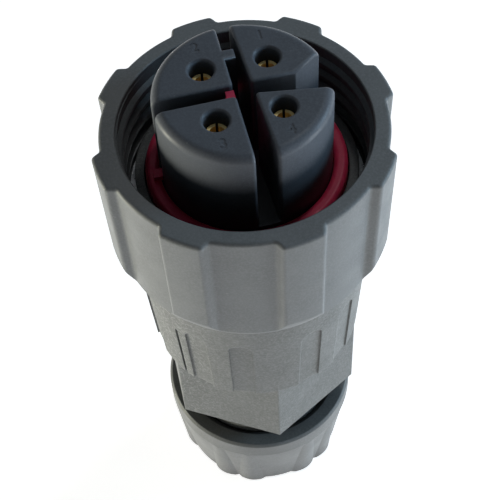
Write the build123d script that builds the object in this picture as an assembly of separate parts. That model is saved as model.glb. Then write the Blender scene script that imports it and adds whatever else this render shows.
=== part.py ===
from build123d import *
import os
from math import atan, atan2, cos, degrees, hypot, radians, sin, tan

# Female half of a four-pole screw-coupled power connector, loose and with no cable.
# Origin at the centre of the gland nut's foot, +Z along the axis to the mating face, -Y the
# side with one corner of the hexagon. Millimetres and degrees. Angles run from +X, seen from
# the mating face. Threads are plain cylinders at their mean radius.

# Clearances
SLIP = 0.3            # between pieces that move against each other
FIT = 0.05            # between pieces that are pushed together by hand
LOOSE = 0.2           # round a piece that floats in its seat

# Cable way
CABLE_R = 6.5         # thickest cable that the grommet takes
GROMMET_WALL = 1.8
GROMMET_HEAD = 3.2    # height of the grommet's wide head
GROMMET_CHAMFER = 0.6
CAGE_WALL = 1.1
CAGE_FINGERS = 8
CAGE_FINGER_LENGTH = 12.7
GROMMET_LENGTH = CAGE_FINGER_LENGTH + SLIP + GROMMET_HEAD   # its head lies beyond the fingers
CAGE_FLANGE = 1.6
CAGE_SLOT = 1.2
SLIP_RING = 1.2

# Gland nut
NUT_LENGTH = 16.0
NUT_FLOOR = 3.2
NUT_ENTRY_MARGIN = 1.5   # hole in the nut's floor, beyond the cable's radius
NUT_WALL = 1.35          # at the foot, between the ribs
NUT_FLARE = 1.65         # how much wider the nut is under its rim
NUT_RIM = 3.5            # plain band above the ribs
NUT_RIM_STEP = 0.1
NUT_RIB_RISE = 0.57      # at the foot, where the ribs stand proudest
NUT_RIB_R = 3.3          # radius of a rib's back
NUT_RIB_TURNS = (20, 40)   # ribs come in pairs, measured from each corner of the hexagon
NUT_MOUTH_CHAMFER = 0.8
NUT_TIGHTENING = 3.5     # travel left from the loose nut to the stop

# Rear thread and hexagon of the housing
NECK_WALL = 2.0
NUT_GAP = 5.0            # bare thread between the loose nut and the hexagon
HEX_ACROSS_FLATS = 28.0
HEX_LENGTH = 15.0
HEX_CORNER_TURN = -80.5  # direction of the corner beside the front
HEX_FOOT_CHAMFER = 0.3
HEX_RUN_OUT = 6.0        # of its corners above the ledge

# Round grip section of the housing
BODY_LENGTH = 27.4       # from the ledge over the hexagon to the ring's shoulder
BODY_DRAFT = 1.2         # how much slimmer the body is at the ledge
FLUTE_LENGTH = 15.3
FLUTE_WIDTH = 3.4
FLUTE_DEPTH = 0.35
FLUTE_TURN = 18.2        # each side of every corner of the hexagon
INDEX_LINE_TURN = -134.0
INDEX_LINE_WIDTH = 0.5
INDEX_LINE_LENGTH = 13.7

# Front collar of the housing, inside the coupling ring
COLLAR_LENGTH = 8.2
COLLAR_WALL = 1.3
CLIP_THICKNESS = 1.2
CLIP_BITE = 0.6          # depth of the clip's groove
CLIP_WIDTH = 1.55
CLIP_GAP_TURN = 16.0

# Coupling ring
CAVITY_WIDTH = 5.3       # from the insert to the ring's thread
RING_WALL = 2.2
RING_LENGTH = 23.0
RING_DRAFT = 0.45        # how much slimmer the ring is at its foot
RING_SKIRT = 6.7         # overhang behind the web, round the body
RING_SKIRT_WALL = 1.15
RING_FOOT_EDGE = 0.45    # what is left of the skirt's wall where its foot runs out
RING_FOOT_TAPER = 4.0    # height of that run-out, which the pads end on
RING_FOOT_ROUND = 4.0    # between the run-out and the pads' backs
RING_WEB = 2.8
RING_MOUTH_CHAMFER = 0.15
RING_MOUTH_ROUND = 0.5   # outer edge of the mouth, pads included
PAD_COUNT = 8
PAD_FIRST_TURN = -26.1
PAD_RISE = 1.2
PAD_HALF_TURN = 8.15     # half the pad's back, seen from the axis
PAD_FLANK_TURN = 2.2     # taken up by each sloping flank
PAD_BACK_ROUND = 0.7
PAD_FOOT_ROUND = 0.6

# Contact insert
CONTACT_CIRCLE_R = 6.15
INSERT_MARGIN = 5.55     # from the contacts' circle to the insert's edge
INSERT_REACH = 15.6      # from the cavity's floor to the insert's face
INSERT_EDGE_ROUND = 1.3
INSERT_TURN = 10.8       # of the cross and the contacts
SEAT_LEDGE = 0.7         # radial width of the ledge that the insert sits on
SEAT_THICKNESS = 2.8
SEAT_DEPTH = 11.6        # from the cavity's floor down to the ledge
KEY_WIDTH = 2.4
KEY_HEIGHT = 1.4
HOLE_R = 1.65
HOLE_CHAMFER = 0.3
SLOT_DEPTH = 14.0
SLOT_LONG_WIDTH = 2.35   # arm that runs from front to back, at its middle
SLOT_LONG_SHIFT = 0.175
SLOT_LONG_FLARE = 2.4    # lean of its right wall, wider at the front
SLOT_CROSS_WIDTH = 1.8
SLOT_CROSS_SHIFT = -0.1
SLOT_EDGE_ROUND = 0.4
SLOT_CORNER_ROUND = 0.5  # of the quadrants' inner corners, in plan
KEY_ARM_FLARE = 9.5      # slope of the key arm's near wall
KEY_ARM_CUT_START = 7.2  # where the far wall turns outwards
KEY_ARM_CUT_TURN = 36.0
TAB_START = 5.4          # coding tab in the far arm
TAB_WIDTH = 1.65
TAB_RISE = 1.5

# Contacts, their carrier and screws
SOCKET_BORE_R = 1.0
SOCKET_SET_BACK = 2.3    # from the insert's face to the socket's mouth
SOCKET_BORE_DEPTH = 10.8
SOCKET_SLIT = 0.35
SOCKET_SLIT_LENGTH = 9.0
STEM_LENGTH = 14.0       # plain length in front of the collar
CONTACT_COLLAR = 2.0
CONTACT_COLLAR_R = 2.1
BARREL_R = 2.6
BARREL_LENGTH = 14.0
WIRE_BORE_R = 1.5
WIRE_BORE_DEPTH = 10.0
CARRIER_FLOOR = 2.0
CARRIER_SCREW_R = 1.2
CARRIER_SCREW_HEAD_R = 2.4
CARRIER_SCREW_HEAD = 1.6
CARRIER_SCREW_GRIP = 6.0   # length that holds in the insert
TERMINAL_SCREW_R = 1.2
TERMINAL_SCREW_LENGTH = 3.2
TERMINAL_SCREW_HEIGHT = 4.0   # above the barrel's foot
DRIVER_SLOT = 0.5
DRIVER_SLOT_DEPTH = 0.7
HOOK_TURN = 28.0
HOOK_CATCH = 0.6
HOOK_HEIGHT = 2.1

# Seals
SEAL_WIDTH = 2.0
SEAL_HEIGHT = 3.3
SEAL_ROUND = 0.75
SEAL_SEAT_DEPTH = 1.9
RUNNER_HEIGHT = 0.8
RUNNER_WIDTH = 1.4
POST_WIDTH = 1.1
POST_SET_BACK = 0.8      # of the post's top below the insert's face
O_RING_GROOVE = 1.1
O_RING_GROOVE_WIDTH = 2.2
O_RING_HEIGHT = 3.2      # of the groove above the insert's seat
O_RING_SPARE = 0.02

# Radii that follow from the inside out
grommet_r = CABLE_R + GROMMET_WALL
cage_bore_r = grommet_r + LOOSE
cage_r = cage_bore_r + CAGE_WALL
neck_bore_r = cage_r + SLIP
neck_r = neck_bore_r + NECK_WALL
flange_r = neck_r - SLIP
nut_bore_r = neck_r + SLIP
nut_foot_r = nut_bore_r + NUT_WALL
nut_rim_r = nut_foot_r + NUT_FLARE
nut_entry_r = CABLE_R + NUT_ENTRY_MARGIN
contact_r = CONTACT_CIRCLE_R
insert_r = contact_r + INSERT_MARGIN
thread_r = insert_r + CAVITY_WIDTH
ring_r = thread_r + RING_WALL
skirt_bore_r = ring_r - RING_DRAFT - RING_SKIRT_WALL
body_top_r = skirt_bore_r - SLIP - FIT
body_foot_r = body_top_r - BODY_DRAFT
insert_bore_r = insert_r + SLIP
seal_seat_r = insert_r + FIT + SEAL_WIDTH + LOOSE
collar_r = seal_seat_r + COLLAR_WALL
clip_groove_r = collar_r - CLIP_BITE
web_bore_r = collar_r + SLIP
seat_bore_r = insert_r - SEAT_LEDGE
carrier_r = seat_bore_r - SLIP
hook_r = seat_bore_r + HOOK_CATCH
chamber_r = hook_r + HOOK_CATCH - FIT
socket_r = HOLE_R - LOOSE
stem_r = HOLE_R - FIT

# Heights that follow from the foot up
slip_ring_z = NUT_FLOOR + LOOSE
cage_z = slip_ring_z + SLIP_RING
grommet_z = cage_z + CAGE_FLANGE
neck_z = grommet_z + NUT_TIGHTENING + SLIP
hex_z = NUT_LENGTH + NUT_GAP
ledge_z = hex_z + HEX_LENGTH
shoulder_z = ledge_z + BODY_LENGTH
floor_z = shoulder_z + COLLAR_LENGTH
web_z = shoulder_z + SLIP
ring_z = web_z - RING_SKIRT
mouth_z = ring_z + RING_LENGTH
clip_z = web_z + RING_WEB + SLIP
face_z = floor_z + INSERT_REACH
seat_z = floor_z - SEAT_DEPTH
slot_z = face_z - SLOT_DEPTH
stop_z = grommet_z + GROMMET_LENGTH + NUT_TIGHTENING + 2 * SLIP
chamber_z = ledge_z + SEAT_THICKNESS
carrier_top_z = seat_z - CONTACT_COLLAR
barrel_z = carrier_top_z - BARREL_LENGTH
carrier_z = barrel_z - CARRIER_FLOOR
seal_seat_z = floor_z - SEAL_SEAT_DEPTH

body_slope = BODY_DRAFT / (ring_z - ledge_z)
contact_turns = [INSERT_TURN + 45 + 90 * i for i in range(4)]
corner_turns = [HEX_CORNER_TURN + 60 * i for i in range(6)]


def turned(*corners):
    """Solid of revolution about Z from its (radius, height) corners."""
    return revolve(Plane.XZ * make_face(Polyline(*corners, close=True)), Axis.Z)


def tube(outer_r, inner_r, low_z, high_z):
    return turned((inner_r, low_z), (outer_r, low_z), (outer_r, high_z), (inner_r, high_z))


def rod(radius, low_z, high_z, x=0.0):
    return Pos(x, 0, low_z) * Cylinder(radius, high_z - low_z, align=(Align.CENTER, Align.CENTER, Align.MIN))


def outward_rod(radius, length):
    """Rod from the axis towards +X, at the height of the terminal screws."""
    base = (Align.CENTER, Align.CENTER, Align.MIN)
    return Pos(0, 0, barrel_z + TERMINAL_SCREW_HEIGHT) * Rot(0, 90, 0) * Cylinder(radius, length, align=base)


def block(low, high):
    """Box between two opposite corners."""
    size = [b - a for a, b in zip(low, high)]
    return Pos(*low) * Box(*size, align=(Align.MIN, Align.MIN, Align.MIN))


def spun(piece, turn):
    """The piece, built towards +X, turned about Z."""
    return Rot(0, 0, turn) * piece


def polar(radius, turn):
    return (radius * cos(radians(turn)), radius * sin(radians(turn)))


def flute(width, length):
    """Cutter for an arch-topped flute whose floor follows the draft, towards +X."""
    lean = atan(body_slope)
    floor = Plane(
        origin=(body_foot_r - FLUTE_DEPTH, 0, ledge_z),
        x_dir=(0, 1, 0),
        z_dir=(cos(lean), 0, -sin(lean)),
    )
    straight = length - width / 2
    outline = Pos(0, straight / 2) * Rectangle(width, straight) + Pos(0, straight) * Circle(width / 2)
    run_out = Pos(0, -width / 2) * Rectangle(width, width)
    return extrude(floor * (outline + run_out), amount=FLUTE_DEPTH + BODY_DRAFT)


def main_housing():
    """Neck with the gland thread, hexagon, fluted grip section and front collar."""
    stop_r = neck_bore_r - GROMMET_WALL + SLIP
    stop_top_z = stop_z + CAGE_FLANGE
    shell = turned(
        (neck_bore_r, neck_z), (neck_r, neck_z), (neck_r, ledge_z), (body_foot_r, ledge_z),
        (body_top_r, ring_z), (body_top_r, shoulder_z), (collar_r, shoulder_z),
        (collar_r, clip_z - FIT), (clip_groove_r, clip_z - FIT),
        (clip_groove_r, clip_z + CLIP_THICKNESS + FIT), (collar_r, clip_z + CLIP_THICKNESS + FIT),
        (collar_r, floor_z), (seal_seat_r, floor_z), (seal_seat_r, seal_seat_z),
        (insert_bore_r, seal_seat_z), (insert_bore_r, seat_z), (seat_bore_r, seat_z),
        (seat_bore_r, seat_z - SEAT_THICKNESS), (chamber_r, seat_z - SEAT_THICKNESS),
        (chamber_r, chamber_z), (stop_r, stop_top_z), (stop_r, stop_z), (neck_bore_r, stop_z),
    )
    hexagon = RegularPolygon(HEX_ACROSS_FLATS / 2, 6, major_radius=False)
    # Inside the body only the corners go on, until the wider body swallows them
    step_z = ledge_z + FIT
    top_z = ledge_z + HEX_RUN_OUT
    bar = Pos(0, 0, hex_z) * extrude(spun(hexagon, HEX_CORNER_TURN), amount=top_z - hex_z)
    bar = chamfer(bar.faces().sort_by(Axis.Z)[0].edges(), HEX_FOOT_CHAMFER)
    core = turned(
        (0, hex_z - 1), (neck_r - FIT, hex_z - 1), (neck_r - FIT, step_z),
        (body_foot_r - FIT, step_z), (body_foot_r - FIT, top_z + 1), (0, top_z + 1),
    )
    shell += bar - core
    cutters = [spun(flute(FLUTE_WIDTH, FLUTE_LENGTH), turn + side * FLUTE_TURN)
               for turn in corner_turns for side in (-1, 1)]
    cutters.append(spun(flute(INDEX_LINE_WIDTH, INDEX_LINE_LENGTH), INDEX_LINE_TURN))
    shell -= cutters
    lug = block((seat_bore_r - FIT, -KEY_WIDTH / 2 + FIT, seat_z - FIT),
                (insert_bore_r + FIT, KEY_WIDTH / 2 - FIT, seat_z + KEY_HEIGHT - FIT))
    return shell + spun(lug, INSERT_TURN)


def slot_outline():
    """Plan of the cross slot, unturned: three plain arms and the flared key arm."""
    reach = insert_r + 1
    left = SLOT_LONG_SHIFT - SLOT_LONG_WIDTH / 2
    low = SLOT_CROSS_SHIFT - SLOT_CROSS_WIDTH / 2
    high = SLOT_CROSS_SHIFT + SLOT_CROSS_WIDTH / 2

    def right_at(y):
        return SLOT_LONG_SHIFT + SLOT_LONG_WIDTH / 2 - y * tan(radians(SLOT_LONG_FLARE))

    near_fall = (reach - right_at(low)) * tan(radians(KEY_ARM_FLARE))
    far_rise = (reach - KEY_ARM_CUT_START) * tan(radians(KEY_ARM_CUT_TURN))
    tab_tip = left + TAB_RISE
    tab_end = TAB_START + TAB_WIDTH
    outline = make_face(Polyline(
        (left, -reach), (right_at(-reach), -reach), (right_at(low), low), (reach, low - near_fall),
        (reach, high + far_rise), (KEY_ARM_CUT_START, high), (right_at(high), high),
        (right_at(reach), reach), (left, reach), (left, tab_end), (tab_tip, tab_end),
        (tab_tip, TAB_START), (left, TAB_START), (left, high), (-reach, high),
        (-reach, low), (left, low), close=True,
    ))
    inner = outline.vertices().filter_by(
        lambda v: abs(v.X) < SLOT_LONG_WIDTH and abs(v.Y) < SLOT_CROSS_WIDTH
    )
    return fillet(inner, SLOT_CORNER_ROUND)


def contact_insert():
    """Front insulator: four quadrants round the cross slot, with the contact holes."""
    groove_z = seat_z + O_RING_HEIGHT
    groove_r = insert_r - O_RING_GROOVE
    plug = turned(
        (0, carrier_top_z), (carrier_r, carrier_top_z), (carrier_r, seat_z), (insert_r, seat_z),
        (insert_r, groove_z), (groove_r, groove_z), (groove_r, groove_z + O_RING_GROOVE_WIDTH),
        (insert_r, groove_z + O_RING_GROOVE_WIDTH), (insert_r, face_z), (0, face_z),
    )
    rim = plug.edges().filter_by(GeomType.CIRCLE).sort_by(Axis.Z)[-1]
    plug = fillet(rim, INSERT_EDGE_ROUND)
    plug -= Pos(0, 0, slot_z) * extrude(slot_outline(), amount=SLOT_DEPTH + 1)
    plug = fillet(quadrant_edges(plug), SLOT_EDGE_ROUND)
    for i in range(4):
        hole = rod(HOLE_R, seat_z - FIT, face_z + 1, contact_r)
        hole += rod(CONTACT_COLLAR_R + FIT, carrier_top_z - 1, seat_z, contact_r)
        mouth = Pos(contact_r, 0, face_z) * Cone(
            HOLE_R, HOLE_R + 2 * HOLE_CHAMFER, 2 * HOLE_CHAMFER,
        )
        plug -= spun(hole + mouth, 45 + 90 * i)
    plug -= rod(CARRIER_SCREW_R + FIT, carrier_top_z - 1, carrier_top_z + CARRIER_SCREW_GRIP + 1)
    plug -= block((seat_bore_r - 1, -KEY_WIDTH / 2, seat_z - 1),
                  (insert_r + 1, KEY_WIDTH / 2, seat_z + KEY_HEIGHT))
    return spun(plug, INSERT_TURN)


def quadrant_edges(plug):
    """Edges where the cross slot's walls meet the face."""
    return plug.edges().filter_by(GeomType.LINE).filter_by(
        lambda edge: abs(edge.center().Z - face_z) < FIT
    )


def o_ring_section():
    """Centre radius and section radius of the insert's O-ring."""
    inner = insert_r - O_RING_GROOVE + O_RING_SPARE
    outer = insert_bore_r - O_RING_SPARE
    return (inner + outer) / 2, (outer - inner) / 2


def insert_o_ring():
    centre_r, section_r = o_ring_section()
    z = seat_z + O_RING_HEIGHT + O_RING_GROOVE_WIDTH / 2
    return Pos(0, 0, z) * Torus(centre_r, section_r)


def face_seal():
    """Red cavity seal, moulded in one with its runner and the post beside the cross."""
    inner_r = insert_r + FIT
    top_z = seal_seat_z + SEAL_HEIGHT
    ring = tube(inner_r + SEAL_WIDTH, inner_r, seal_seat_z, top_z)
    ring = fillet(ring.faces().sort_by(Axis.Z)[-1].edges(), SEAL_ROUND)
    y = SLOT_CROSS_SHIFT
    post_x = SLOT_LONG_SHIFT - SLOT_LONG_WIDTH / 2
    runner_top_z = slot_z + RUNNER_HEIGHT
    runner = block((-inner_r - SEAL_WIDTH / 2, y - RUNNER_WIDTH / 2, slot_z),
                   (post_x, y + RUNNER_WIDTH / 2, runner_top_z))
    leg = block((-inner_r - SEAL_WIDTH / 2, y - RUNNER_WIDTH / 2, top_z - SEAL_WIDTH / 2),
                (-inner_r - FIT, y + RUNNER_WIDTH / 2, runner_top_z))
    post_depth = SLOT_CROSS_WIDTH / 2 - LOOSE
    post = block((post_x - POST_WIDTH, y - post_depth, slot_z),
                 (post_x, y + post_depth, face_z - POST_SET_BACK))
    return spun(ring + runner + leg + post, INSERT_TURN)


def socket_contact(turn):
    """Slit socket, collar and screw barrel, turned in one piece, with its screw hole outwards."""
    tip_z = face_z - SOCKET_SET_BACK
    stem_top_z = seat_z + STEM_LENGTH
    contact = rod(socket_r, stem_top_z - FIT, tip_z)
    contact += rod(stem_r, seat_z - FIT, stem_top_z)
    contact += rod(CONTACT_COLLAR_R, carrier_top_z, seat_z)
    contact += rod(BARREL_R, barrel_z, carrier_top_z)
    contact -= rod(SOCKET_BORE_R, tip_z - SOCKET_BORE_DEPTH, tip_z + 1)
    contact -= rod(WIRE_BORE_R, barrel_z - 1, barrel_z + WIRE_BORE_DEPTH)
    # Every slit points to the back, whichever way its screw faces
    contact -= block((-SOCKET_SLIT / 2, -HOLE_R, tip_z - SOCKET_SLIT_LENGTH),
                     (SOCKET_SLIT / 2, HOLE_R, tip_z + 1))
    contact -= spun(outward_rod(TERMINAL_SCREW_R + FIT, BARREL_R + 1), turn)
    return Pos(*polar(contact_r, turn)) * contact


def terminal_screw():
    """Slotted grub screw that presses on the wire, towards +X."""
    tip_x = contact_r + WIRE_BORE_R - LOOSE
    end_x = tip_x + TERMINAL_SCREW_LENGTH
    screw_z = barrel_z + TERMINAL_SCREW_HEIGHT
    slot = block((end_x - DRIVER_SLOT_DEPTH, -DRIVER_SLOT / 2, screw_z - BARREL_R),
                 (end_x + 1, DRIVER_SLOT / 2, screw_z + BARREL_R))
    return Pos(tip_x, 0) * outward_rod(TERMINAL_SCREW_R, TERMINAL_SCREW_LENGTH) - slot


def terminal_carrier():
    """Rear insulator round the screw barrels, with two hooks under the housing's ledge."""
    hook_top_z = seat_z - SEAT_THICKNESS - FIT
    carrier = rod(carrier_r, carrier_z, carrier_top_z)
    hook_z = hook_top_z - HOOK_HEIGHT
    hooks = turned((carrier_r - 1, hook_z), (carrier_r, hook_z), (hook_r, hook_top_z - HOOK_HEIGHT / 2),
                   (hook_r, hook_top_z), (carrier_r - 1, hook_top_z))
    span = 2 * hook_r * sin(radians(HOOK_TURN / 2))
    sides = block((-hook_r, -span / 2, hook_z), (hook_r, span / 2, hook_top_z))
    carrier += hooks & sides
    for turn in contact_turns:
        way = rod(BARREL_R + FIT, barrel_z, carrier_top_z + 1, contact_r)
        way += rod(WIRE_BORE_R + LOOSE, carrier_z - 1, barrel_z + 1, contact_r)
        way += Pos(contact_r, 0) * outward_rod(TERMINAL_SCREW_R + 2 * LOOSE, carrier_r)
        carrier -= spun(way, turn)
    return carrier - rod(CARRIER_SCREW_R + LOOSE, carrier_z - 1, carrier_top_z + 1)


def carrier_screw():
    """Pan-head screw that holds the carrier to the insert."""
    head_z = carrier_z - CARRIER_SCREW_HEAD
    screw = rod(CARRIER_SCREW_R, carrier_z - FIT, carrier_top_z + CARRIER_SCREW_GRIP)
    head = rod(CARRIER_SCREW_HEAD_R, head_z, carrier_z)
    head = fillet(head.edges().filter_by(GeomType.CIRCLE).sort_by(Axis.Z)[0], CARRIER_SCREW_HEAD / 2)
    head -= block((-BARREL_R, -DRIVER_SLOT / 2, head_z - 1),
                  (BARREL_R, DRIVER_SLOT / 2, head_z + DRIVER_SLOT_DEPTH))
    return screw + head


def ring_section(base_r):
    """Plan of the coupling ring's outside, with its grip pads."""
    pad_r = base_r + PAD_RISE
    foot_turn = PAD_HALF_TURN + PAD_FLANK_TURN
    # Each flank runs straight from the foot through the back's edge
    back = polar(pad_r, PAD_HALF_TURN)
    foot = polar(base_r, foot_turn)
    beyond = (back[0] + back[0] - foot[0], back[1] + back[1] - foot[1])
    inside = polar(base_r - PAD_RISE, foot_turn)
    half = (inside, foot, beyond)
    outline = half + tuple((x, -y) for x, y in reversed(half))
    pad = make_face(Polyline(*outline, close=True)) & Circle(pad_r)
    pads = [spun(pad, PAD_FIRST_TURN + i * 360 / PAD_COUNT) for i in range(PAD_COUNT)]
    section = Circle(base_r) + pads
    middle_r = base_r + PAD_RISE / 2
    backs = section.vertices().filter_by(lambda v: hypot(v.X, v.Y) > middle_r)
    section = fillet(backs, PAD_BACK_ROUND)
    feet = section.vertices().filter_by(lambda v: hypot(v.X, v.Y) < base_r + FIT)
    return fillet(feet, PAD_FOOT_ROUND)


def coupling_ring():
    """Threaded ring with grip pads, a web that pulls on the collar, and a skirt."""
    foot = Pos(0, 0, ring_z) * ring_section(ring_r - RING_DRAFT)
    mouth = Pos(0, 0, mouth_z) * ring_section(ring_r)
    outside = loft([foot, mouth], ruled=True)
    outside = fillet(outside.faces().sort_by(Axis.Z)[-1].edges(), RING_MOUTH_ROUND)
    web_top_z = web_z + RING_WEB
    bore = turned(
        (0, ring_z - 1), (skirt_bore_r, ring_z - 1), (skirt_bore_r, web_z), (web_bore_r, web_z),
        (web_bore_r, web_top_z), (thread_r, web_top_z), (thread_r, mouth_z - RING_MOUTH_CHAMFER),
        (thread_r + RING_MOUTH_CHAMFER + 1, mouth_z + 1), (0, mouth_z + 1),
    )
    return (outside & ring_foot_envelope()) - bore


def ring_foot_envelope():
    """Solid that trims the ring's foot and the ends of its pads to a rounded taper."""
    taper_z = ring_z + RING_FOOT_TAPER
    back_r = ring_r + PAD_RISE - RING_DRAFT * (1 - RING_FOOT_TAPER / RING_LENGTH)
    knee = (back_r + FIT, taper_z)
    profile = make_face(Polyline(
        (0, ring_z), (skirt_bore_r + RING_FOOT_EDGE, ring_z), knee,
        (ring_r + PAD_RISE + FIT, mouth_z), (ring_r + PAD_RISE + FIT, mouth_z + 1), (0, mouth_z + 1),
        close=True,
    ))
    profile = fillet(profile.vertices().sort_by_distance(knee)[0], RING_FOOT_ROUND)
    return revolve(Plane.XZ * profile, Axis.Z)


def ring_clip():
    """Open spring clip that keeps the coupling ring on the collar."""
    inner_r = clip_groove_r + FIT
    clip = tube(inner_r + CLIP_WIDTH, inner_r, clip_z, clip_z + CLIP_THICKNESS)
    gap = 2 * inner_r * sin(radians(CLIP_GAP_TURN / 2))
    clip -= block((0, -gap / 2, clip_z - 1), (2 * inner_r, gap / 2, clip_z + CLIP_THICKNESS + 1))
    return spun(clip, 90)


def clamp_cage():
    """Slotted sleeve whose fingers close on the grommet."""
    top_z = grommet_z + CAGE_FINGER_LENGTH
    cage = turned(
        (nut_entry_r, cage_z), (flange_r, cage_z), (flange_r, grommet_z), (cage_r, grommet_z),
        (cage_r, top_z), (cage_bore_r, top_z), (cage_bore_r, grommet_z), (nut_entry_r, grommet_z),
    )
    for i in range(CAGE_FINGERS):
        slot = block((CABLE_R, -CAGE_SLOT / 2, grommet_z + CAGE_FLANGE),
                     (cage_r + 1, CAGE_SLOT / 2, top_z + 1))
        cage -= spun(slot, i * 360 / CAGE_FINGERS)
    return cage


def cable_grommet():
    """Rubber sleeve, its head above the cage's fingers."""
    head_r = cage_r - LOOSE
    head_z = grommet_z + GROMMET_LENGTH - GROMMET_HEAD
    top_z = grommet_z + GROMMET_LENGTH
    return turned(
        (CABLE_R, grommet_z), (grommet_r, grommet_z), (grommet_r, head_z), (head_r, head_z),
        (head_r, top_z - GROMMET_CHAMFER), (head_r - GROMMET_CHAMFER, top_z), (CABLE_R, top_z),
    )


def slip_ring():
    """Thrust washer between the nut's floor and the cage."""
    return tube(flange_r, nut_entry_r + LOOSE, slip_ring_z, cage_z)


def gland_nut():
    """Flared nut with twelve grip ribs in pairs."""
    ribbed_z = NUT_LENGTH - NUT_RIM
    band_r = nut_rim_r + NUT_RIM_STEP
    edge = NUT_MOUTH_CHAMFER / 2
    cone = turned(
        (0, 0), (nut_foot_r - edge, 0), (nut_foot_r, edge), (nut_rim_r, ribbed_z),
        (band_r, ribbed_z), (band_r, NUT_LENGTH - edge), (band_r - edge, NUT_LENGTH), (0, NUT_LENGTH),
    )
    crest_r = nut_foot_r + NUT_RIB_RISE
    lean = atan2(band_r - crest_r, ribbed_z)
    back = Pos(crest_r - NUT_RIB_R, 0, 0) * Rot(0, degrees(lean), 0) * Cylinder(NUT_RIB_R, 2 * NUT_LENGTH)
    slab = turned((0, 0), (crest_r - edge, 0), (crest_r, edge), (band_r + 1, edge),
                  (band_r + 1, ribbed_z), (0, ribbed_z))
    rib = back & slab
    ribs = [spun(rib, turn + offset) for turn in corner_turns for offset in NUT_RIB_TURNS]
    bore = turned(
        (0, -1), (nut_entry_r, -1), (nut_entry_r, NUT_FLOOR), (nut_bore_r, NUT_FLOOR),
        (nut_bore_r, NUT_LENGTH - NUT_MOUTH_CHAMFER), (nut_bore_r + NUT_MOUTH_CHAMFER, NUT_LENGTH),
        (nut_bore_r + NUT_MOUTH_CHAMFER, NUT_LENGTH + 1), (0, NUT_LENGTH + 1),
    )
    return cone + ribs - bore


def pieces():
    """Every sub-part by its node name."""
    found = {
        "main_housing": main_housing(),
        "contact_insert": contact_insert(),
        "terminal_carrier": terminal_carrier(),
        "carrier_screw": carrier_screw(),
        "face_seal": face_seal(),
        "insert_o_ring": insert_o_ring(),
        "coupling_ring": coupling_ring(),
        "ring_clip": ring_clip(),
        "clamp_cage": clamp_cage(),
        "cable_grommet": cable_grommet(),
        "slip_ring": slip_ring(),
        "gland_nut": gland_nut(),
    }
    for number, turn in enumerate(contact_turns, start=1):
        found[f"socket_contact_{number}"] = socket_contact(turn)
        found[f"terminal_screw_{number}"] = spun(terminal_screw(), turn)
    return found


os.makedirs("parts", exist_ok=True)
for node, solid in pieces().items():
    export_step(solid, f"parts/{node}.step")
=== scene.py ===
from math import cos, pi, radians, sin

import bmesh
import bpy
from mathutils import Euler, Matrix, Vector


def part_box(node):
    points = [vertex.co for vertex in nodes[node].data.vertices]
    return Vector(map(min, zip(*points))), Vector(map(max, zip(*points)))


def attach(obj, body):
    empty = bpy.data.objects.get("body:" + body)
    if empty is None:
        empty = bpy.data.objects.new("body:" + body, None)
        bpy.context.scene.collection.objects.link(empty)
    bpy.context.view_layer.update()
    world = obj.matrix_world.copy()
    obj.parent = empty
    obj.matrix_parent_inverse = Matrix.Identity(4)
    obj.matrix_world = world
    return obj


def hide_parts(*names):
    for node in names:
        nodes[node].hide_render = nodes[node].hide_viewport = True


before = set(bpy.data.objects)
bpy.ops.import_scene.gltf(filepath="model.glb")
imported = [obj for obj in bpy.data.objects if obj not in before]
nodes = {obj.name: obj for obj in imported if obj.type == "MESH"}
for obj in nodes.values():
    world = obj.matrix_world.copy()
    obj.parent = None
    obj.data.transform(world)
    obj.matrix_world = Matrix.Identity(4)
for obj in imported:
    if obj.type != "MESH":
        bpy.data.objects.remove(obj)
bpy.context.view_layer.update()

MM = 0.001
MERGE = 0.0005 * MM           # gap below which two vertices of a CAD mesh are one

# Where the insert's cross and contacts stand, as in the part's source
INSERT_TURN = radians(10.8)
CONTACT_CIRCLE_R = 6.15 * MM
CONTACT_TURNS = [INSERT_TURN + radians(45 + 90 * i) for i in range(4)]

# Numbers beside the holes
NUMBER_HEIGHT = 1.5 * MM
NUMBER_OFFSET = 3.9 * MM      # from the hole's centre, towards the nearer end of the long arm
NUMBER_DEPTH = 0.05 * MM
NUMBER_STROKE = 0.06 * MM     # added to each side of a stroke
DIGIT_SHARE = 0.7             # of a font's size that its digits are high
NUMBER_MERGE = 0.002 * MM

# Threads. A ridge's widths are shares of the pitch, its run-out a share of a turn
COUPLING_PITCH = 2.5 * MM
COUPLING_WALL_R = 17.0 * MM
COUPLING_THREAD_SPAN = (67.6 * MM, 79.2 * MM)
COUPLING_RIDGE = 0.55 * MM
GLAND_PITCH = 1.5 * MM
NECK_WALL_R = 11.9 * MM
NECK_THREAD_SPAN = (10.4 * MM, 20.8 * MM)
NECK_RIDGE = 0.24 * MM
RIDGE_ROOT = 0.72
RIDGE_CREST = 0.2
RIDGE_RUN_OUT = 0.35
THREAD_SINK = 0.05 * MM       # of a ridge's root in the wall that carries it

# Plastics
# Painted shade: the plastics' base colour darkens where the walls of a recess are near
PAINTED_SHADE_REACH = 12 * MM        # how near the walls of a recess have to be to darken it
PAINTED_SHADE_TONE = 0.2
DUST = (0.42, 0.42, 0.41)

# Floor and surround, whose strengths differ by the kind of ray that meets them
FLOOR_R = 4.0
FLOOR_SHOWN = 0.86
FLOOR_BOUNCE = 0.85
SURROUND_STRENGTHS = {
    "Is Camera Ray": 1.0, "Is Glossy Ray": 0.55, "Is Transmission Ray": 0.55, "Is Diffuse Ray": 0.03,
}
SKY = (0.84, 0.93, 1.0)

# Camera, fitted to the outline in the photograph
CAMERA_PLACE = Vector((0.1, -108.84, 209.45)) * MM
CAMERA_TURN = Euler((radians(34.444), radians(2.089), radians(-2.829)))
CAMERA_LENS = 92.83
CAMERA_SENSOR = 36.0


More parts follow.
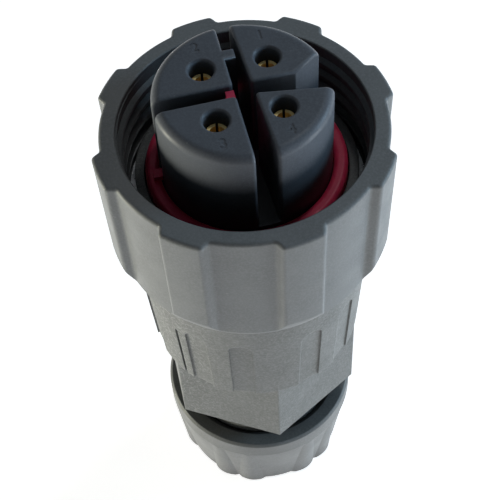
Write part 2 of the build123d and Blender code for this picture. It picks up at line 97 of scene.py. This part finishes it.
class Finish:
    """One material, built node by node in front of its Principled shader."""

    def __init__(self, name, **sockets):
        self.material = bpy.data.materials.new(name)
        self.material.use_nodes = True
        self.tree = self.material.node_tree
        self.shader = self.tree.nodes["Principled BSDF"]
        for socket, value in sockets.items():
            self.paint(socket.replace("_", " "), value)
        self.place = self.node("ShaderNodeTexCoord").outputs["Object"]

    def put(self, socket, value):
        """Links the socket to another node's output, or sets its value."""
        if isinstance(value, bpy.types.NodeSocket):
            self.tree.links.new(value, socket)
        else:
            socket.default_value = value

    def paint(self, input_name, value):
        """Links or sets an input of the shader itself."""
        self.put(self.shader.inputs[input_name], value)

    def node(self, kind, inputs=(), **settings):
        made = self.tree.nodes.new(kind)
        for name, value in settings.items():
            setattr(made, name, value)
        for key, value in dict(inputs).items():
            self.put(made.inputs[key], value)
        return made

    def noise(self, size, detail=2.0, roughness=0.5, place=None):
        """Noise whose lumps are about as large as size, in metres."""
        made = self.node("ShaderNodeTexNoise", {
            "Vector": place or self.place, "Scale": 1 / size, "Detail": detail, "Roughness": roughness,
        })
        return made.outputs["Fac"]

    def stretched(self, factors):
        """Object coordinates scaled along their axes, so that noise on them becomes streaks."""
        return self.node("ShaderNodeMapping", {"Vector": self.place, "Scale": factors}).outputs["Vector"]

    def remap(self, value, low, high, to_low=0.0, to_high=1.0):
        """Value eased from the range low to high into the range to_low to to_high."""
        return self.node("ShaderNodeMapRange", {
            "Value": value, "From Min": low, "From Max": high, "To Min": to_low, "To Max": to_high,
        }, interpolation_type="SMOOTHSTEP").outputs["Result"]

    def combine(self, operation, a, b=0.0):
        return self.node("ShaderNodeMath", {0: a, 1: b}, operation=operation).outputs[0]

    def mixed(self, factor, first, second):
        made = self.node("ShaderNodeMix", data_type="RGBA")
        self.put(made.inputs["Factor"], factor)
        self.put(made.inputs["A"], first)
        self.put(made.inputs["B"], second)
        return next(out for out in made.outputs if out.type == "RGBA")

    def bump(self, height, depth, normal=None):
        inputs = {"Height": height, "Distance": depth}
        if normal:
            inputs["Normal"] = normal
        return self.node("ShaderNodeBump", inputs).outputs["Normal"]

    def rounded_normal(self, radius):
        """Shading normal that rounds every sharp edge a little."""
        return self.node("ShaderNodeBevel", {"Radius": radius}, samples=6).outputs["Normal"]

    def recesses(self, reach):
        """Mask for painted shade: 0 deep in slots, gaps and corners, 1 in the open."""
        made = self.node("ShaderNodeAmbientOcclusion", {"Distance": reach}, samples=6)
        return self.remap(made.outputs["AO"], 0.12, 0.7)

    def edges(self, rounded):
        """1 on sharp edges and 0 away from them."""
        flat = self.node("ShaderNodeNewGeometry").outputs["Normal"]
        both = self.node("ShaderNodeVectorMath", {0: rounded, 1: flat}, operation="DOT_PRODUCT")
        return self.remap(both.outputs["Value"], 0.999, 0.88)


def rgba(red, green, blue):
    return (red, green, blue, 1.0)


def toned(colour, factor):
    return rgba(*(part * factor for part in colour))


def moulded_plastic(name, colour, grain_size, grain_depth, roughness, gloss=0.3, speckle=1.2, wear=0.15,
                    scuffs=0.0, edge_radius=0.3 * MM):
    """Black plastic from a textured mould: faint flow marks, grain, dust, scuffs, pale edges and painted
    shade in its recesses.
    """
    finish = Finish(name, Specular_IOR_Level=gloss)
    broad = finish.noise(9 * MM, detail=3)
    body = finish.mixed(finish.remap(broad, 0.35, 0.7), toned(colour, 0.92), toned(colour, 1.08))
    grain = finish.noise(grain_size, detail=3, roughness=0.6)
    speckled = finish.mixed(finish.remap(grain, 0.35, 0.75), body, toned(colour, speckle))
    dust = finish.remap(finish.noise(0.45 * MM, detail=1), 0.76, 0.82, 0.0, 0.3)
    dusty = finish.mixed(dust, speckled, rgba(*DUST))
    height = grain
    if scuffs:
        # Winding lines where a soft noise crosses its middle value, mostly on the -X side
        side = finish.node("ShaderNodeSeparateXYZ", {"Vector": finish.place}).outputs["X"]
        from_middle = finish.combine("SUBTRACT", finish.noise(1.2 * MM, detail=2), 0.5)
        winding = finish.remap(finish.combine("ABSOLUTE", from_middle), 0.035, 0.008)
        lines = finish.combine("MULTIPLY", winding, finish.remap(side, -3 * MM, -14 * MM, 0.12, 1.0))
        dusty = finish.mixed(finish.combine("MULTIPLY", lines, scuffs), dusty, toned(colour, 2.3))
        height = finish.combine("ADD", grain, finish.combine("MULTIPLY", lines, 0.5))
    rounded = finish.rounded_normal(edge_radius)
    patches = finish.remap(finish.noise(1.3 * MM), 0.3, 0.7, 0.4, 1.0)
    rubbed = finish.combine("MULTIPLY", finish.edges(rounded), patches)
    worn = finish.mixed(finish.combine("MULTIPLY", rubbed, wear), dusty, toned(colour, 2.2))
    # Painted shade: the base colour darkens deep in slots, gaps and corners
    shaded = finish.mixed(finish.recesses(PAINTED_SHADE_REACH), toned(colour, PAINTED_SHADE_TONE), worn)
    finish.paint("Base Color", shaded)
    uneven = finish.noise(4 * MM, detail=4)
    finish.paint("Roughness", finish.remap(uneven, 0.3, 0.7, roughness - 0.05, roughness + 0.06))
    finish.paint("Normal", finish.bump(height, grain_depth, rounded))
    return finish


def silicone():
    """Red seal rubber, slightly waxy, with a little dust."""
    finish = Finish("seal_rubber", Specular_IOR_Level=0.25, Subsurface_Weight=0.12,
                    Subsurface_Radius=(1.0, 0.2, 0.1), Subsurface_Scale=0.6 * MM)
    soft = finish.noise(1.2 * MM, detail=3)
    tone = finish.mixed(soft, rgba(0.52, 0.022, 0.068), rgba(0.74, 0.050, 0.125))
    dust = finish.remap(finish.noise(0.3 * MM, detail=2), 0.7, 0.8, 0.0, 0.25)
    finish.paint("Base Color", finish.mixed(dust, tone, rgba(0.55, 0.42, 0.42)))
    finish.paint("Roughness", finish.remap(soft, 0.3, 0.7, 0.38, 0.52))
    finish.paint("Normal", finish.bump(soft, 0.03 * MM))
    return finish


def rubber(name, colour):
    """Black grommet rubber with a matt skin."""
    finish = Finish(name, Specular_IOR_Level=0.35)
    skin = finish.noise(0.5 * MM, detail=4, roughness=0.65)
    finish.paint("Base Color", finish.mixed(skin, toned(colour, 0.8), toned(colour, 1.4)))
    finish.paint("Roughness", finish.remap(skin, 0.3, 0.7, 0.62, 0.78))
    finish.paint("Normal", finish.bump(skin, 0.02 * MM))
    return finish


def nylon():
    """Natural nylon, milky and slightly glossy."""
    finish = Finish("cage_nylon", Specular_IOR_Level=0.5, Subsurface_Weight=0.25,
                    Subsurface_Radius=(1.0, 0.95, 0.85), Subsurface_Scale=1.0 * MM)
    cloud = finish.noise(3 * MM, detail=3)
    finish.paint("Base Color", finish.mixed(cloud, rgba(0.62, 0.61, 0.56), rgba(0.74, 0.73, 0.68)))
    finish.paint("Roughness", finish.remap(cloud, 0.3, 0.7, 0.34, 0.46))
    finish.paint("Normal", finish.bump(finish.noise(0.4 * MM), 0.008 * MM))
    return finish


def turned_metal(name, colour, tarnish, roughness, bare=1.0):
    """Lathe-turned metal: fine rings across the axis and a little tarnish."""
    finish = Finish(name, Metallic=bare)
    rings = finish.noise(0.25 * MM, detail=2, place=finish.stretched((0.15, 0.15, 4.0)))
    cloud = finish.noise(0.9 * MM, detail=3)
    dulled = finish.remap(cloud, 0.42, 0.75, 0.0, 0.8)
    finish.paint("Base Color", finish.mixed(dulled, rgba(*colour), rgba(*tarnish)))
    finish.paint("Roughness", finish.remap(cloud, 0.3, 0.7, roughness - 0.07, roughness + 0.1))
    finish.paint("Normal", finish.bump(rings, 0.006 * MM))
    return finish


def screw_thread_tree(material):
    """Geometry Nodes tree that winds a tapered ridge along a helix about Z."""
    tree = bpy.data.node_groups.new("screw_thread", "GeometryNodeTree")
    for name in ("Wall Radius", "Pitch", "Length", "Ridge Height", "Root Width", "Crest Width",
                 "Run-out", "Profile Turn", "Start Height"):
        tree.interface.new_socket(name, in_out="INPUT", socket_type="NodeSocketFloat")
    tree.interface.new_socket("Geometry", in_out="OUTPUT", socket_type="NodeSocketGeometry")
    sizes = tree.nodes.new("NodeGroupInput").outputs

    def node(kind, inputs=(), **settings):
        made = tree.nodes.new(kind)
        for name, value in settings.items():
            setattr(made, name, value)
        for key, value in dict(inputs).items():
            if isinstance(value, bpy.types.NodeSocket):
                tree.links.new(value, made.inputs[key])
            else:
                made.inputs[key].default_value = value
        return made

    def arithmetic(operation, a, b):
        return node("ShaderNodeMath", {0: a, 1: b}, operation=operation).outputs[0]

    turns = arithmetic("DIVIDE", sizes["Length"], sizes["Pitch"])
    helix = node("GeometryNodeCurveSpiral", {
        "Resolution": 72, "Rotations": turns, "Start Radius": sizes["Wall Radius"],
        "End Radius": sizes["Wall Radius"], "Height": sizes["Length"],
    })
    upright = node("GeometryNodeSetCurveNormal", {"Curve": helix.outputs[0]}, mode="Z_UP")
    along = node("GeometryNodeSplineParameter").outputs["Factor"]
    from_start = arithmetic("DIVIDE", along, sizes["Run-out"])
    from_end = arithmetic("DIVIDE", arithmetic("SUBTRACT", 1.0, along), sizes["Run-out"])
    fade = arithmetic("MINIMUM", arithmetic("MINIMUM", from_start, from_end), 1.0)
    fading = node("GeometryNodeSetCurveRadius", {
        "Curve": upright.outputs[0], "Radius": arithmetic("MAXIMUM", fade, 0.02),
    })
    section = node("GeometryNodeCurvePrimitiveQuadrilateral", {
        "Height": sizes["Ridge Height"], "Bottom Width": sizes["Root Width"],
        "Top Width": sizes["Crest Width"], "Offset": 0.0,
    }, mode="TRAPEZOID")
    lift = node("ShaderNodeCombineXYZ", {"Y": arithmetic("MULTIPLY", sizes["Ridge Height"], 0.5)})
    standing = node("GeometryNodeTransform", {0: section.outputs[0], "Translation": lift.outputs[0]})
    facing = node("ShaderNodeCombineXYZ", {"Z": sizes["Profile Turn"]})
    turned = node("GeometryNodeTransform", {0: standing.outputs[0], "Rotation": facing.outputs[0]})
    ridge = node("GeometryNodeCurveToMesh", {
        "Curve": fading.outputs[0], "Profile Curve": turned.outputs[0],
        "Scale": node("GeometryNodeInputRadius").outputs[0], "Fill Caps": True,
    })
    start = node("ShaderNodeCombineXYZ", {"Z": sizes["Start Height"]})
    placed = node("GeometryNodeTransform", {0: ridge.outputs[0], "Translation": start.outputs[0]})
    smooth = node("GeometryNodeSetShadeSmooth", {0: placed.outputs[0], "Shade Smooth": False})
    real = node("GeometryNodeRealizeInstances", {0: smooth.outputs[0]})
    finished = node("GeometryNodeSetMaterial", {0: real.outputs[0], "Material": material})
    out = tree.nodes.new("NodeGroupOutput")
    tree.links.new(finished.outputs[0], out.inputs[0])
    return tree


def from_tree(name, tree, sizes):
    """Plain mesh object that a Geometry Nodes tree makes from named sizes."""
    maker = bpy.data.objects.new(name + "_maker", bpy.data.meshes.new(name + "_maker"))
    bpy.context.scene.collection.objects.link(maker)
    modifier = maker.modifiers.new("tree", "NODES")
    modifier.node_group = tree
    for item in tree.interface.items_tree:
        if item.in_out == "INPUT":
            modifier[item.identifier] = float(sizes[item.name])
    evaluated = maker.evaluated_get(bpy.context.evaluated_depsgraph_get())
    mesh = bpy.data.meshes.new_from_object(evaluated)
    mesh.name = name
    bpy.data.objects.remove(maker)
    piece = bpy.data.objects.new(name, mesh)
    bpy.context.scene.collection.objects.link(piece)
    return piece


def thread(name, tree, body, wall_r, span, pitch, height, internal):
    """A helical ridge on a wall of the given body."""
    side = -1 if internal else 1
    low_z, high_z = span
    piece = from_tree(name, tree, {
        "Wall Radius": wall_r - side * THREAD_SINK, "Pitch": pitch, "Length": high_z - low_z,
        "Ridge Height": height + THREAD_SINK,
        "Root Width": pitch * RIDGE_ROOT, "Crest Width": pitch * RIDGE_CREST,
        "Run-out": RIDGE_RUN_OUT * pitch / (high_z - low_z),
        "Profile Turn": side * pi / 2, "Start Height": low_z,
    })
    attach(piece, body)
    return piece


def smooth_mesh_copy(node):
    """Copy of a CAD node's mesh with its doubles merged and its sharp edges kept."""
    mesh = nodes[node].data.copy()
    shape = bmesh.new()
    shape.from_mesh(mesh)
    bmesh.ops.remove_doubles(shape, verts=shape.verts, dist=MERGE)
    shape.to_mesh(mesh)
    shape.free()
    return mesh


def number_cutters():
    """Upright prisms in the shape of the numbers 1 to 4, half in and half out of the insert's face."""
    face_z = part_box("contact_insert")[1].z
    away = Vector((-sin(INSERT_TURN), cos(INSERT_TURN), 0))
    cutters = bpy.data.meshes.new("numbers")
    shape = bmesh.new()
    for number, turn in enumerate(CONTACT_TURNS, start=1):
        hole = Vector((cos(turn), sin(turn), 0)) * CONTACT_CIRCLE_R
        side = 1 if hole.dot(away) > 0 else -1
        text = bpy.data.curves.new(f"number_{number}", "FONT")
        text.body = str(number)
        text.size = NUMBER_HEIGHT / DIGIT_SHARE
        text.align_x = text.align_y = "CENTER"
        text.resolution_u = 6
        text.offset = NUMBER_STROKE
        text.extrude = NUMBER_DEPTH
        plate = bpy.data.objects.new(text.name, text)
        bpy.context.scene.collection.objects.link(plate)
        mesh = bpy.data.meshes.new_from_object(plate.evaluated_get(bpy.context.evaluated_depsgraph_get()))
        place = hole + away * side * NUMBER_OFFSET
        place.z = face_z
        mesh.transform(Matrix.Translation(place) @ Matrix.Rotation(INSERT_TURN, 4, "Z"))
        shape.from_mesh(mesh)
        bpy.data.objects.remove(plate)
    bmesh.ops.remove_doubles(shape, verts=shape.verts, dist=NUMBER_MERGE)
    bmesh.ops.recalc_face_normals(shape, faces=shape.faces)
    shape.to_mesh(cutters)
    shape.free()
    made = bpy.data.objects.new("number_cutters", cutters)
    bpy.context.scene.collection.objects.link(made)
    return made


def numbered_insert(finish):
    """The contact insert with the numbers engraved in its face."""
    piece = bpy.data.objects.new("numbered_insert", smooth_mesh_copy("contact_insert"))
    bpy.context.scene.collection.objects.link(piece)
    piece.data.materials.clear()
    piece.data.materials.append(finish.material)
    cutters = number_cutters()
    cut = piece.modifiers.new("numbers", "BOOLEAN")
    cut.operation = "DIFFERENCE"
    cut.solver = "EXACT"
    cut.use_self = True
    cut.object = cutters
    mesh = bpy.data.meshes.new_from_object(piece.evaluated_get(bpy.context.evaluated_depsgraph_get()))
    piece.modifiers.remove(cut)
    bpy.data.objects.remove(cutters)
    piece.data = mesh
    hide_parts("contact_insert")
    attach(piece, "housing")
    return piece


def stage():
    """Pale floor that keeps the object's shadow and throws light back up."""
    finish = Finish("floor", Base_Color=rgba(0.86, 0.86, 0.86), Roughness=0.9, Specular_IOR_Level=0.1,
                    Emission_Color=rgba(1.0, 1.0, 1.0))
    seen = finish.node("ShaderNodeLightPath").outputs
    shown = finish.combine("MAXIMUM", seen["Is Camera Ray"], seen["Is Glossy Ray"])
    shown = finish.combine("MAXIMUM", shown, seen["Is Transmission Ray"])
    bounced = finish.combine("MULTIPLY", seen["Is Diffuse Ray"], FLOOR_BOUNCE)
    finish.paint("Emission Strength",
                 finish.combine("ADD", finish.combine("MULTIPLY", shown, FLOOR_SHOWN), bounced))
    mesh = bpy.data.meshes.new("floor")
    shape = bmesh.new()
    bmesh.ops.create_circle(shape, cap_ends=True, segments=96, radius=FLOOR_R)
    shape.to_mesh(mesh)
    shape.free()
    mesh.materials.append(finish.material)
    floor = bpy.data.objects.new("floor", mesh)
    bpy.context.scene.collection.objects.link(floor)


def surround():
    """World that the camera sees as white and that lights the object as a dim blue sky."""
    world = bpy.data.worlds.new("surround")
    bpy.context.scene.world = world
    world.use_nodes = True
    tree = world.node_tree
    seen = tree.nodes.new("ShaderNodeLightPath").outputs
    total = None
    for ray, strength in SURROUND_STRENGTHS.items():
        share = tree.nodes.new("ShaderNodeMath")
        share.operation = "MULTIPLY_ADD"
        tree.links.new(seen[ray], share.inputs[0])
        share.inputs[1].default_value = strength
        share.inputs[2].default_value = 0.0
        if total:
            tree.links.new(total, share.inputs[2])
        total = share.outputs[0]
    tint = tree.nodes.new("ShaderNodeMix")
    tint.data_type = "RGBA"
    tree.links.new(seen["Is Camera Ray"], tint.inputs["Factor"])
    tint.inputs["A"].default_value = rgba(*SKY)
    tint.inputs["B"].default_value = rgba(1.0, 1.0, 1.0)
    background = tree.nodes["Background"]
    tree.links.new(next(out for out in tint.outputs if out.type == "RGBA"), background.inputs["Color"])
    tree.links.new(total, background.inputs["Strength"])


def lamp(name, place, aim, size, power, colour):
    """Round soft lamp, its place, aim and size in metres and its power in watts."""
    light = bpy.data.lights.new(name, "AREA")
    light.shape = "DISK"
    light.size = size
    light.energy = power
    light.color = colour
    made = bpy.data.objects.new(name, light)
    made.location = place
    made.rotation_euler = (Vector(aim) - Vector(place)).to_track_quat("-Z", "Y").to_euler()
    bpy.context.scene.collection.objects.link(made)


def lights():
    lamp("left_low", (-0.30, 0.0, 0.015), (0, 0, 0.05), 0.10, 0.88, (1.0, 0.98, 0.80))
    lamp("right_low", (0.28, -0.07, 0.015), (0, 0, 0.05), 0.10, 0.33, (0.85, 0.94, 1.0))
    lamp("right_window", (0.42, 0.05, 0.20), (0, 0, 0.08), 0.14, 0.8, (0.50, 0.76, 1.0))
    lamp("above", (0.12, 0.16, 0.46), (0, 0, 0.08), 0.06, 0.26, (0.93, 0.97, 1.0))


def camera():
    lens = bpy.data.cameras.new("camera")
    lens.lens = CAMERA_LENS
    lens.sensor_width = CAMERA_SENSOR
    lens.clip_start = 0.01
    lens.clip_end = 20
    made = bpy.data.objects.new("camera", lens)
    made.location = CAMERA_PLACE
    made.rotation_euler = CAMERA_TURN
    bpy.context.scene.collection.objects.link(made)
    bpy.context.scene.camera = made


def dress(finish, *names):
    """Gives the finish to CAD nodes."""
    for name in names:
        mesh = nodes[name].data
        mesh.materials.clear()
        mesh.materials.append(finish.material)


housing_finish = moulded_plastic("housing_plastic", (0.162, 0.165, 0.159), 0.36 * MM, 0.05 * MM, 0.48,
                                 speckle=1.5, wear=0.55, scuffs=0.65)
ring_finish = moulded_plastic("ring_plastic", (0.190, 0.196, 0.196), 0.30 * MM, 0.005 * MM, 0.42,
                             wear=0.0, edge_radius=0.15 * MM)
nut_finish = moulded_plastic("nut_plastic", (0.196, 0.199, 0.195), 0.30 * MM, 0.006 * MM, 0.42, wear=0.12)
insert_finish = moulded_plastic("insert_plastic", (0.128, 0.138, 0.156), 0.28 * MM, 0.006 * MM, 0.36,
                                gloss=0.18)
seal_finish = silicone()
grommet_finish = rubber("grommet_rubber", (0.02, 0.02, 0.02))
cage_finish = nylon()
brass_finish = turned_metal("contact_brass", (1.0, 0.78, 0.36), (0.88, 0.64, 0.28), 0.45, bare=0.7)
steel_finish = turned_metal("screw_steel", (0.62, 0.62, 0.63), (0.40, 0.39, 0.38), 0.34)

dress(housing_finish, "main_housing")
dress(ring_finish, "coupling_ring")
dress(nut_finish, "gland_nut")
dress(insert_finish, "contact_insert", "terminal_carrier")
dress(seal_finish, "face_seal", "insert_o_ring")
dress(grommet_finish, "cable_grommet")
dress(cage_finish, "clamp_cage", "slip_ring")
dress(brass_finish, *(f"socket_contact_{i}" for i in range(1, 5)))
dress(steel_finish, "ring_clip", "carrier_screw", *(f"terminal_screw_{i}" for i in range(1, 5)))

thread("coupling_thread", screw_thread_tree(ring_finish.material), "ring",
       COUPLING_WALL_R, COUPLING_THREAD_SPAN, COUPLING_PITCH, COUPLING_RIDGE, internal=True)
thread("neck_thread", screw_thread_tree(housing_finish.material), "housing",
       NECK_WALL_R, NECK_THREAD_SPAN, GLAND_PITCH, NECK_RIDGE, internal=False)
numbered_insert(insert_finish)

stage()
surround()
lights()
camera()
bpy.context.scene.view_settings.view_transform = "Standard"
